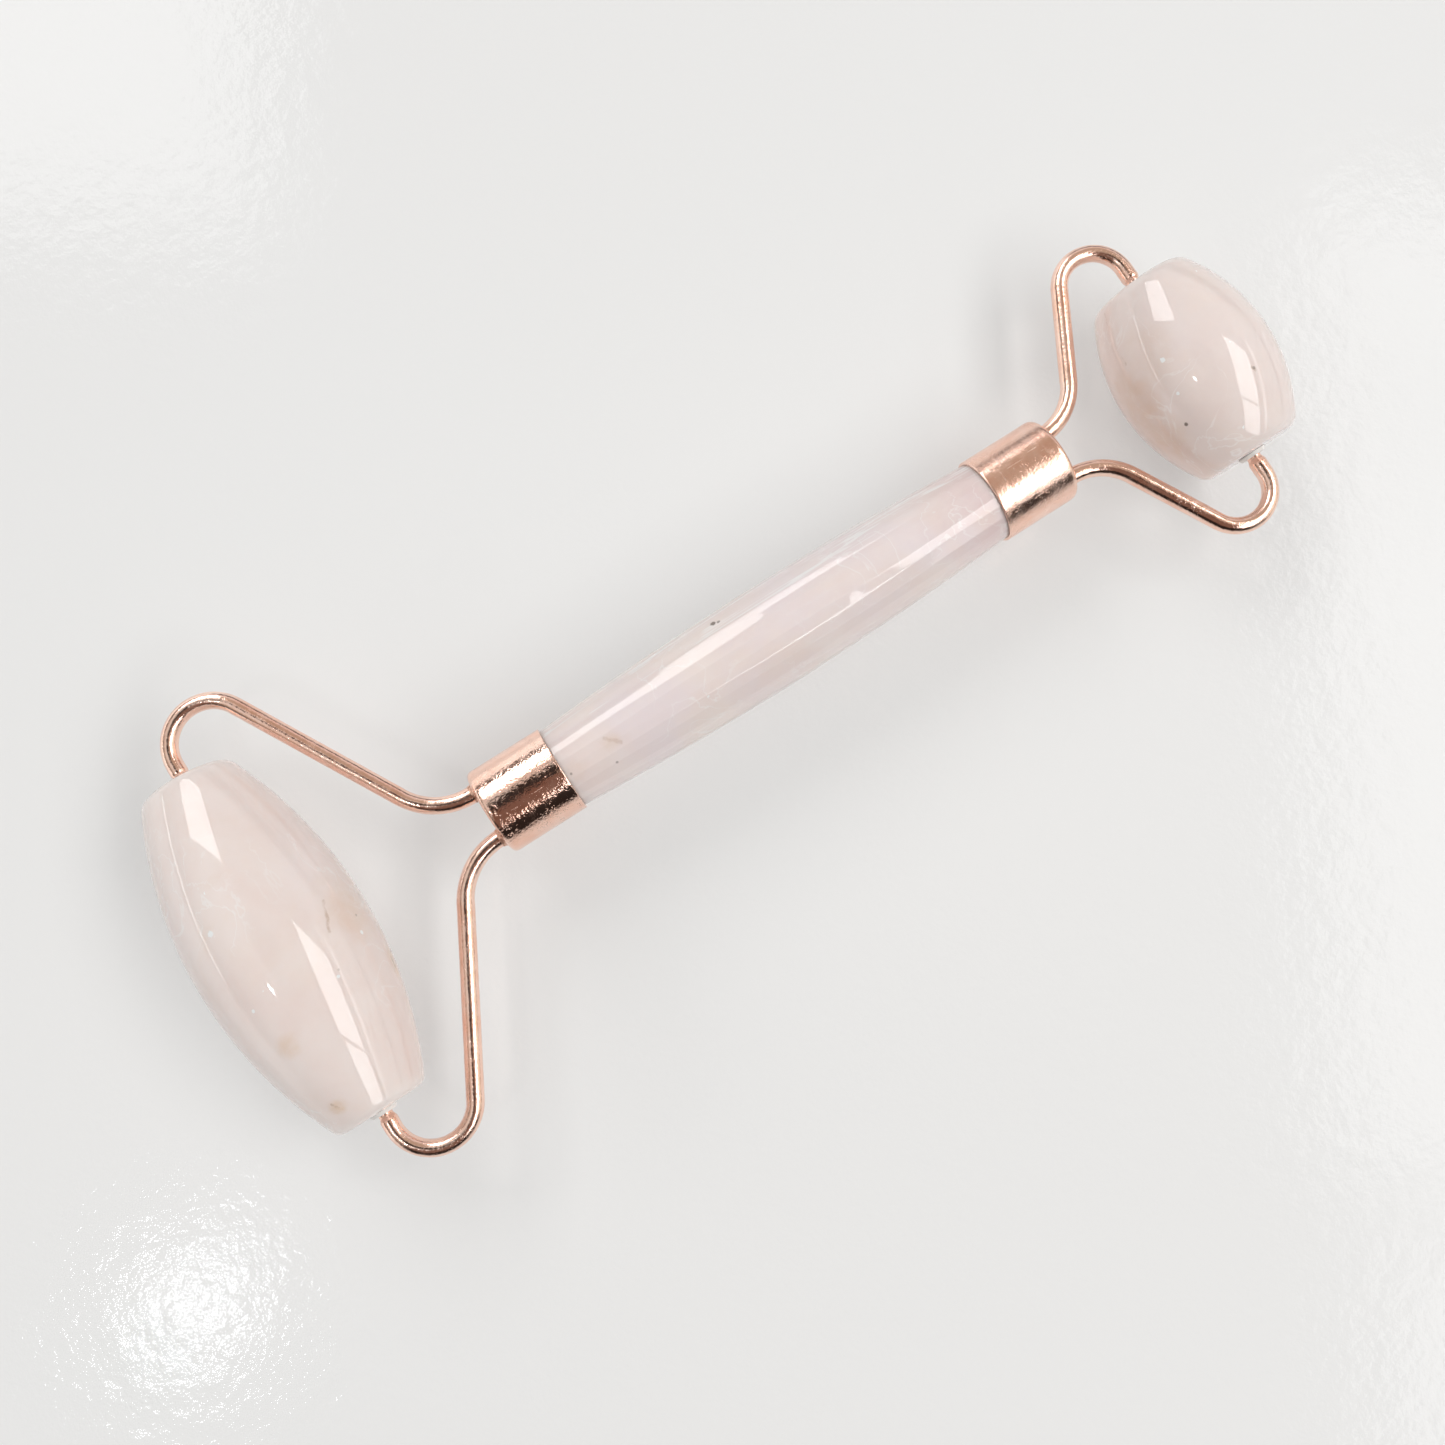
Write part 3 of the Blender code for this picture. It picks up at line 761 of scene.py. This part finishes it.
handle = turned(
    "handle_spindle",
    handle_profile(),
    handle_middle,
    handle_along,
    handle_up,
    handle_look,
    HANDLE_STEPS,
    ripple=handle_ripple,
)
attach(handle, "frame")
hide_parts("handle")

# ---------------------------------------------------------------- ferrules

FERRULE_STEPS = 192
FERRULE_WALL = 0.35 * MM
FERRULE_END_WALL = 0.5 * MM
FERRULE_EDGE = 0.75 * MM
FERRULE_LIP = 0.12 * MM
ARM_OFFSET = 2.95 * MM
ARM_HOLE_RADIUS = 1.4 * MM
HOLE_DEPTH = 3 * MM


def ferrule_profile(length):
    """A deep-drawn cup, from the middle of its closed end over its side and back inside."""
    bore = FERRULE_RADIUS - FERRULE_WALL
    floor = -FERRULE_END_WALL
    profile = Profile().add(0.0, 0.0).line(FERRULE_RADIUS - FERRULE_EDGE, 0.0, 12)
    profile.round((FERRULE_RADIUS, 0.0), (FERRULE_RADIUS, -FERRULE_EDGE), 12, 0.9)
    profile.line(FERRULE_RADIUS, FERRULE_LIP - length, 40)
    profile.round((FERRULE_RADIUS, -length), (FERRULE_RADIUS - FERRULE_LIP, -length), 5)
    profile.line(bore + 0.06 * MM, -length, 2, 0.8)
    profile.round((bore, -length), (bore, -length + 0.08 * MM), 3)
    profile.line(bore, floor - 0.3 * MM, 10)
    profile.round((bore, floor), (bore - 0.3 * MM, floor), 4, 0.0)
    profile.line(0.0, floor, 4)
    return profile


def bored(obj, centres, axis, radius):
    """Cuts round holes through a piece, and takes the cutters away again."""
    for centre in centres:
        cutter_mesh = bpy.data.meshes.new("cutter")
        shape = bmesh.new()
        turn = axis.to_track_quat("Z", "Y").to_matrix().to_4x4()
        bmesh.ops.create_cone(
            shape, cap_ends=True, segments=48, radius1=radius, radius2=radius, depth=HOLE_DEPTH,
            matrix=Matrix.Translation(centre) @ turn,
        )
        shape.to_mesh(cutter_mesh)
        shape.free()
        cutter = link(bpy.data.objects.new("cutter", cutter_mesh))
        cut = obj.modifiers.new("Hole", "BOOLEAN")
        cut.operation = "DIFFERENCE"
        cut.solver = "EXACT"
        cut.object = cutter
        bpy.context.view_layer.update()
        evaluated = obj.evaluated_get(bpy.context.evaluated_depsgraph_get())
        mesh = bpy.data.meshes.new_from_object(evaluated)
        obj.modifiers.clear()
        obj.data = mesh
        bpy.data.objects.remove(cutter, do_unlink=True)
    obj.data.name = obj.name
    obj.data.shade_smooth()
    obj.data.set_sharp_from_angle(angle=math.radians(40))


def build_ferrule(end, face, outward, length, seed, **finish):
    face_point = large_axle + handle_along * face
    axis = handle_along * outward
    look = rose_gold(f"{end}_ferrule_gold", seed, (0.5, 0.5, 7.0), **finish)

    def ripple(angle, height, ring):
        """Drawn sheet isn't dead straight: shallow flats, and a lip that wavers."""
        if ring < FERRULE_RADIUS - FERRULE_EDGE:
            return 0.0
        side = (math.cos(angle), math.sin(angle))
        flats = noise.noise(Vector((2.6 * side[0] + seed, 2.6 * side[1], height / (7 * MM))))
        dents = noise.noise(Vector((9 * side[0], 9 * side[1] + seed, height / (1.6 * MM))))
        return -MM * (0.016 * (1 + flats) + 0.0028 * (1 + dents))

    profile = ferrule_profile(length)
    name = f"{end}_ferrule_cup"
    ferrule = turned(
        name, profile, face_point, axis, handle_up, look, FERRULE_STEPS, ripple=ripple
    )
    holes = [face_point + Y_AXIS * side * ARM_OFFSET for side in (1, -1)]
    bored(ferrule, holes, axis, ARM_HOLE_RADIUS)
    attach(ferrule, "frame")
    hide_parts(f"{end}_ferrule")


build_ferrule(
    "large", large_face, -1, large_lip - large_face, 1.3, pitting=2.4, satin=-0.02, sand=1.6
)
build_ferrule(
    "small", small_face, 1, small_face - small_lip, 4.6, pitting=0.6, satin=0.09, sand=0.6
)

# ---------------------------------------------------------------- glue lines

GLUE_STEPS = 160


def build_glue(end, lip, inward):
    """The epoxy round the tenon, level with its ferrule's lip."""
    low, high, _ = node_extent(f"{end}_glue", large_axle, handle_along)
    outer = FERRULE_RADIUS - FERRULE_WALL - 0.01 * MM
    inner = TENON_RADIUS + 0.06 * MM
    deep = abs((high if inward > 0 else low) - lip)
    floor = deep - 0.9 * MM
    profile = Profile().add(0.0, floor).line(inner, floor, 3)
    profile.line(inner, 0.02 * MM, 8)
    profile.round((inner + 0.2 * MM, 0.0), (outer - 0.05 * MM, 0.0), 4)
    profile.line(outer, 0.03 * MM, 1).line(outer, deep, 8).line(0.0, deep, 3)
    look = epoxy_resin(f"{end}_glue_epoxy", 2.0 if end == "large" else 5.0)
    origin = large_axle + handle_along * lip
    axis = handle_along * inward
    glue = turned(f"{end}_glue_line", profile, origin, axis, handle_up, look, GLUE_STEPS)
    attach(glue, "frame")
    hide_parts(f"{end}_glue")


build_glue("large", large_lip, -1)
build_glue("small", small_lip, 1)

# ---------------------------------------------------------------- wire arms

WIRE_RADIUS = 1.05 * MM
PIN_RADIUS = 0.85 * MM
PIN_LENGTH = 4.5 * MM
PIN_SHOULDER_GAP = 0.3 * MM
PIN_TAPER_LENGTH = 0.5 * MM
PIN_TIP_TAPER = 0.3 * MM
PIN_TIP_RADIUS = 0.6 * MM
ARM_FLARE = math.radians(61.3)
ARM_STUB = 1.6 * MM
ARM_ROOT_STRAIGHT = 0.6 * MM
WIRE_STEPS = 32
WIRE_SPACING = 0.22 * MM
BRAZE_STEPS = 64
FLANGE_THICKNESS = 0.4 * MM


class Fork:
    """One end of the roller: where its wires leave the ferrule, and how they run."""

    def __init__(self, end, face, direction, reach, root_bend, hook_bend, half_length):
        self.end = end
        self.face = face
        self.direction = direction
        self.reach = reach
        self.root_bend = root_bend
        self.hook_bend = hook_bend
        self.half_length = half_length


stone_low, stone_high, _ = node_extent("large_roller", large_axle, Y_AXIS)
large_half = (stone_high - stone_low) / 2
stone_low, stone_high, _ = node_extent("small_roller", small_axle, Y_AXIS)
small_half = (stone_high - stone_low) / 2
small_reach = (small_axle - large_axle).length - small_face
FORKS = (
    Fork("large", large_face, -1, large_face, 8.0 * MM, 4.9 * MM, large_half),
    Fork("small", small_face, 1, small_reach, 7.2 * MM, 4.25 * MM, small_half),
)


def wire_route(fork):
    """(reach, side, radius, bend) along a wire, closely spaced. bend is 1 in a bend."""
    out = Vector((math.cos(ARM_FLARE), math.sin(ARM_FLARE)))
    inward = Vector((math.sin(ARM_FLARE), -math.cos(ARM_FLARE)))
    bends = fork.root_bend * out.y + fork.hook_bend * (1 + out.y)
    straight = (fork.reach - ARM_ROOT_STRAIGHT - bends) / out.x
    route = []

    def run(start, end, radius_start, radius_end):
        steps = max(2, int((end - start).length / WIRE_SPACING))
        for i in range(steps):
            t = i / steps
            point = start.lerp(end, t)
            route.append((point.x, point.y, radius_start + (radius_end - radius_start) * t, 0.0))

    def turn(centre, spoke, angle, sign):
        steps = max(6, int(spoke.length * angle / WIRE_SPACING))
        for i in range(steps):
            t = i / steps
            point = centre + Matrix.Rotation(sign * angle * t, 2) @ spoke
            route.append((point.x, point.y, WIRE_RADIUS, math.sin(math.pi * t) ** 0.5))
        return centre + Matrix.Rotation(sign * angle, 2) @ spoke

    start = Vector((-ARM_STUB, ARM_OFFSET))
    root = Vector((ARM_ROOT_STRAIGHT, ARM_OFFSET))
    run(start, root, WIRE_RADIUS, WIRE_RADIUS)
    bend_end = turn(root + Vector((0, fork.root_bend)), Vector((0, -fork.root_bend)), ARM_FLARE, 1)
    straight_end = bend_end + straight * out
    run(bend_end, straight_end, WIRE_RADIUS, WIRE_RADIUS)
    hook_angle = ARM_FLARE + math.radians(90)
    to_centre = fork.hook_bend * inward
    hook_end = turn(straight_end + to_centre, -to_centre, hook_angle, -1)

    shoulder = fork.half_length + SEAT + FLANGE_THICKNESS + PIN_SHOULDER_GAP
    pin_end = fork.half_length - PIN_LENGTH
    taper_start = Vector((fork.reach, shoulder + PIN_TAPER_LENGTH))
    pin_start = Vector((fork.reach, shoulder))
    tip_start = Vector((fork.reach, pin_end + PIN_TIP_TAPER))
    run(hook_end, taper_start, WIRE_RADIUS, WIRE_RADIUS)
    run(taper_start, pin_start, WIRE_RADIUS, PIN_RADIUS)
    run(pin_start, tip_start, PIN_RADIUS, PIN_RADIUS)
    run(tip_start, Vector((fork.reach, pin_end)), PIN_RADIUS, PIN_TIP_RADIUS)
    route.append((fork.reach, pin_end, PIN_TIP_RADIUS, 0.0))
    return route


def build_arm(fork, side_name, side, seed):
    route = wire_route(fork)
    count = len(route)
    centres = [
        large_axle + handle_along * (fork.face + fork.direction * reach) + Y_AXIS * side * offset
        for reach, offset, _, _ in route
    ]
    points, wear, sweep, faces = [], [], [], []
    travelled = 0.0
    for i, (centre, (_, _, radius, bend)) in enumerate(zip(centres, route)):
        ahead = centres[min(i + 1, count - 1)] - centres[max(i - 1, 0)]
        ahead.normalize()
        across = handle_up.cross(ahead).normalized()
        if i:
            travelled += (centre - centres[i - 1]).length
        for j in range(WIRE_STEPS):
            angle = 2 * math.pi * j / WIRE_STEPS
            flat, tall = 1 - 0.035 * bend, 1 + 0.022 * bend
            spoke = across * math.cos(angle) * flat + handle_up * math.sin(angle) * tall
            here = Vector((math.cos(angle), math.sin(angle), travelled / (1.3 * MM)))
            hollow = noise.noise(here * 0.9 + Vector((seed, 0, 0)))
            tool = noise.noise(here * 2.6 + Vector((0, seed, 0)))
            depth = 0.010 * (1 + hollow) + (0.003 + 0.010 * bend) * max(tool, 0.0)
            points.append(centre + spoke * (radius - depth * MM))
            wear.append(0.9 * bend)
            turn = (math.cos(angle) * radius / MM, math.sin(angle) * radius / MM)
            sweep.append((*turn, travelled / MM))
    for i in range(count - 1):
        for j in range(WIRE_STEPS):
            k = (j + 1) % WIRE_STEPS
            low, high = i * WIRE_STEPS, (i + 1) * WIRE_STEPS
            faces.append((low + j, low + k, high + k, high + j))
    faces.append(list(range(WIRE_STEPS))[::-1])
    faces.append([(count - 1) * WIRE_STEPS + j for j in range(WIRE_STEPS)])
    name = f"{fork.end}_arm_{side_name}"
    look = rose_gold(f"{name}_gold", seed, (4.5, 4.5, 0.3), peel=0.55, pitting=0.6, satin=0.05)
    arm = mesh_piece(f"{name}_wire", points, faces, look, wear, sweep)
    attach(arm, "frame")
    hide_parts(name)


def build_braze(fork, side_name, side, seed):
    """A small fillet where a wire enters its ferrule, with a bead inside."""
    name = f"{fork.end}_arm_{side_name}_braze"
    origin = large_axle + handle_along * fork.face + Y_AXIS * side * ARM_OFFSET
    hole = WIRE_RADIUS - 0.03 * MM
    sleeve = ARM_HOLE_RADIUS - 0.02 * MM
    foot = 1.62 * MM
    inner = -FERRULE_END_WALL
    profile = Profile().add(hole, 0.62 * MM).line(hole + 0.05 * MM, 0.60 * MM, 1)
    profile.round((hole + 0.12 * MM, 0.08 * MM), (foot - 0.05 * MM, 0.035 * MM), 10, 0.2)
    profile.round((foot, 0.02 * MM), (foot - 0.02 * MM, -0.01 * MM), 3)
    profile.line(sleeve, -0.01 * MM, 2).line(sleeve, inner - 0.02 * MM, 4)
    profile.line(foot, inner - 0.04 * MM, 2).line(hole, inner - 0.55 * MM, 4)
    profile.line(hole, 0.5 * MM, 5)

    def ripple(angle, height, ring):
        if height < 0 or ring < hole + 0.02 * MM:
            return 0.0
        turn = (1.5 * math.cos(angle) + seed, 1.5 * math.sin(angle))
        lump = noise.noise(Vector((*turn, height / (0.7 * MM))))
        return 0.10 * MM * lump * min(height / (0.05 * MM), 1)

    look = braze_metal(f"{name}_metal", seed)
    axis = handle_along * fork.direction
    braze = turned(
        f"{name}_fillet", profile, origin, axis, handle_up, look, BRAZE_STEPS, True, ripple
    )
    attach(braze, "frame")
    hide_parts(name)


seed = 2.0
for fork in FORKS:
    for side_name, side in (("left", 1), ("right", -1)):
        build_arm(fork, side_name, side, seed)
        build_braze(fork, side_name, side, seed + 0.5)
        seed += 3.7

# ---------------------------------------------------------------- bushes

BUSH_BORE_RADIUS = 0.93 * MM
FLANGE_RADIUS = 1.7 * MM
BUSH_LENGTH = 5.0 * MM
BUSH_STEPS = 72


def build_bush(end, body, axle, half, side_name, side):
    """A flanged nylon sleeve pressed into the stone's bore."""
    sleeve = BORE_RADIUS - 0.03 * MM
    face = half + 0.015 * MM
    crown = FLANGE_RADIUS - 0.28 * MM
    top = half + SEAT + FLANGE_THICKNESS
    bottom = half - BUSH_LENGTH
    soft = 0.12 * MM
    profile = Profile().add(BUSH_BORE_RADIUS, bottom).line(BUSH_BORE_RADIUS, top - soft, 10, 1.0)
    profile.round((BUSH_BORE_RADIUS, top), (BUSH_BORE_RADIUS + soft, top), 4)
    profile.line(crown - soft, top, 6)
    profile.round((crown, top), (crown + 0.08 * MM, top - soft), 5, 0.2)
    profile.line(FLANGE_RADIUS - 0.03 * MM, face + 0.1 * MM, 3)
    profile.round((FLANGE_RADIUS, face + 0.03 * MM), (FLANGE_RADIUS - 0.06 * MM, face), 3, 0.2)
    profile.line(sleeve, face, 2).line(sleeve, bottom, 8).line(BUSH_BORE_RADIUS, bottom, 2)
    profile.points.pop()
    profile.wear.pop()
    name = f"{end}_bush_{side_name}"
    look = nylon_plastic(f"{name}_nylon", side + axle.x)
    bush = turned(
        f"{name}_sleeve", profile, axle, Y_AXIS * side, Z_AXIS, look, BUSH_STEPS, True
    )
    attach(bush, body)
    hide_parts(name)


for side_name, side in (("left", 1), ("right", -1)):
    build_bush("large", "large_stone", large_axle, large_half, side_name, side)
    build_bush("small", "small_stone", small_axle, small_half, side_name, side)

# ---------------------------------------------------------------- table


def table_top():
    look = Look("table_gloss")
    place = look.place()
    drift = look.noise(place, 0.006, 2, 0.5)
    colour = look.mix(drift, TABLE_COOL, TABLE_WARM)
    dust = look.between(look.cells(place, 0.055), 0.012, 0.02, 0.22, 0)
    colour = look.mix(dust, colour, TABLE_DUST)
    fine_peel = look.noise(place, 1.0, 3, 0.6)
    peel = look.math("MULTIPLY_ADD", fine_peel, 0.5, look.noise(place, 0.33, 3, 0.5))
    look.set(Base_Color=colour, Roughness=TABLE_ROUGHNESS, Specular_IOR_Level=0.19)
    look.set(Emission_Color=TABLE_GLOW, Emission_Strength=TABLE_LIFT)
    look.set(Normal=look.bump(peel, 1.0, 0.065 * MM))
    return look.material


TABLE_COOL = (0.565, 0.562, 0.556)
TABLE_WARM = (0.568, 0.558, 0.545)
TABLE_DUST = (0.45, 0.42, 0.40)
TABLE_GLOW = (1.0, 1.0, 0.995)
TABLE_LIFT = 0.285
TABLE_ROUGHNESS = 0.045
TABLE_HALF = 3.0

table = mesh_piece(
    "table",
    [(x * TABLE_HALF, y * TABLE_HALF, -0.01 * MM) for x, y in ((-1, -1), (1, -1), (1, 1), (-1, 1))],
    [(0, 1, 2, 3)],
    table_top(),
)

# ---------------------------------------------------------------- room and light

# The picture's up and right, as directions on the table
right_way = Vector((math.cos(PICTURE_TURN), math.sin(PICTURE_TURN), 0))
up_way = Vector((-math.sin(PICTURE_TURN), math.cos(PICTURE_TURN), 0))
LIGHT_HEIGHT = 1.0


def overhead(name, shape, size, middle, radiance, colour, mirrored=True):
    """A level light over the table; its size and middle are given in units of its height."""
    light = bpy.data.lights.new(name, "AREA")
    light.shape = shape
    light.size, light.size_y = (side * LIGHT_HEIGHT for side in size)
    filled = math.pi / 4 if shape == "DISK" else 1.0
    light.energy = radiance * math.pi * light.size * light.size_y * filled
    light.color = colour
    lamp = link(bpy.data.objects.new(name, light))
    lamp.location = (right_way * middle[0] + up_way * middle[1] + Z_AXIS) * LIGHT_HEIGHT
    lamp.rotation_euler = (0, 0, PICTURE_TURN)
    lamp.visible_camera = False
    lamp.visible_glossy = mirrored


def panel(name, rights, ups, radiance, mirrored=True):
    size = (rights[1] - rights[0], ups[1] - ups[0])
    overhead(name, "RECTANGLE", size, (sum(rights) / 2, sum(ups) / 2), radiance, DAYLIGHT, mirrored)


WINDOW = 4.3
DAYLIGHT = (1.0, 1.0, 0.995)
LAMP_COLOUR = (0.94, 0.97, 1.0)
panel("window_left", (-1.03, -0.385), (0.52, 1.95), WINDOW)
panel("window_right_far", (0.50, 1.10), (-0.27, 0.55), WINDOW)
panel("window_right_near", (0.54, 1.12), (-1.0, -0.31), WINDOW)
panel("window_right_side", (1.42, 1.62), (-1.6, 0.9), 2.0)
panel("shelf_light", (-3.25, -2.85), (-1.6, 1.2), 3.0)
panel("fill_left", (-2.9, -2.0), (-2.0, 0.8), 3.4, False)
overhead("ceiling_lamp", "DISK", (0.062, 0.062), (-0.40, -0.36), 46.0, LAMP_COLOUR)


def build_room():
    """A plain pale studio to look at, and a dim room for the gloss to reflect."""
    world = bpy.data.worlds.new("room")
    bpy.context.scene.world = world
    world.use_nodes = True
    look = Look.__new__(Look)
    look.tree = world.node_tree
    look._object = None
    background = world.node_tree.nodes["Background"]
    way = look.vector("NORMALIZE", look.node("ShaderNodeTexCoord").outputs["Generated"])
    split = look.node("ShaderNodeSeparateXYZ", {"Vector": way})
    rise = split.outputs["Z"]

    level = look.vector("NORMALIZE", look.vector("MULTIPLY", way, (1, 1, 0)))
    flatten = look.math("DIVIDE", 1.0, look.math("MAXIMUM", rise, 0.05))
    slope = look.vector("SCALE", way, Scale=flatten)

    def wall(towards, spread, low, high):
        """A patch of wall, facing one way, between two heights given as sines of elevation."""
        facing = look.between(look.vector("DOT_PRODUCT", level, tuple(towards)), *spread)
        above = look.between(rise, low, low + 0.06)
        below = look.between(rise, high, high + 0.06, 1, 0)
        return look.math("MULTIPLY", facing, look.math("MULTIPLY", above, below))

    seen = look.ramp(
        look.between(rise, -0.1, 1.0),
        (0.0, (0.05, 0.04, 0.043)),
        (0.13, (0.08, 0.066, 0.066)),
        (0.24, (0.48, 0.44, 0.40)),
        (0.5, (0.50, 0.44, 0.38)),
        (1.0, (0.47, 0.38, 0.31)),
    )
    # The ceiling over the large stone is lit by its window; the far and right walls are pale
    across = look.node("ShaderNodeSeparateXYZ", {"Vector": slope}).outputs["X"]
    lit = look.between(across, -0.03, 0.18, 1, 0)
    lit = look.math("MULTIPLY", lit, look.between(rise, 0.62, 0.8))
    seen = look.mix(lit, seen, (0.72, 0.71, 0.69))
    seen = look.mix(wall(up_way, (0.45, 0.75), 0.17, 0.50), seen, (0.78, 0.71, 0.70))
    seen = look.mix(wall(right_way, (0.62, 0.85), 0.02, 0.52), seen, (0.92, 0.86, 0.77))

    seen = look.mix(wall(-right_way, (0.1, 0.5), -0.12, 0.2), seen, (1.1, 1.09, 1.07))
    seen = look.mix(wall(-right_way, (0.1, 0.5), 0.26, 0.5), seen, (0.16, 0.15, 0.14))

    # A dark figure at the picture's foot leans over the table, with a dark patch overhead
    person = look.between(look.vector("DOT_PRODUCT", level, PERSON_WAY), 0.45, 0.75)
    clothes = look.mix(look.between(rise, 0.55, 0.65), (0.025, 0.02, 0.018), (0.19, 0.115, 0.09))
    seen = look.mix(person, seen, clothes)
    over = look.vector("DISTANCE", slope, (*PHONE_SLOPE, 1.0))
    seen = look.mix(look.between(over, 0.19, 0.28, 1, 0), seen, (0.04, 0.033, 0.03))
    path = look.node("ShaderNodeLightPath")
    ambient = look.mix(look.between(rise, 0.2, 0.8), AMBIENT_LOW, AMBIENT_HIGH)
    seen = look.mix(path.outputs["Is Glossy Ray"], ambient, seen)
    seen = look.mix(path.outputs["Is Camera Ray"], seen, BACKDROP)
    look.feed(background.inputs["Color"], seen)
    background.inputs["Strength"].default_value = 1.0


AMBIENT_LOW = (0.14, 0.14, 0.14)
AMBIENT_HIGH = (0.36, 0.36, 0.36)
BACKDROP = (0.85, 0.85, 0.845)
PERSON_WAY = (-0.30, -0.95, 0.0)
PHONE_SLOPE = (-0.07, 0.07)
build_room()

# ---------------------------------------------------------------- camera

LENS = 36.12
LOOK_AT = Vector((-6.31, -4.61, 0.0)) * MM
CAMERA_FROM = Vector((-18.36, -19.28, 175.74)) * MM

camera_data = bpy.data.cameras.new("camera")
camera_data.lens = LENS
camera_data.sensor_width = 36.0
camera_data.clip_start = 0.01
camera_data.clip_end = 20.0
camera = link(bpy.data.objects.new("camera", camera_data))
camera.location = CAMERA_FROM
backward = (CAMERA_FROM - LOOK_AT).normalized()
level_right = Y_AXIS.cross(backward).normalized()
level_up = backward.cross(level_right)
roll_right = level_right * math.cos(PICTURE_TURN) + level_up * math.sin(PICTURE_TURN)
roll_up = backward.cross(roll_right)
camera.rotation_euler = Matrix((roll_right, roll_up, backward)).transposed().to_euler()
bpy.context.scene.camera = camera
bpy.context.scene.view_settings.view_transform = "Standard"
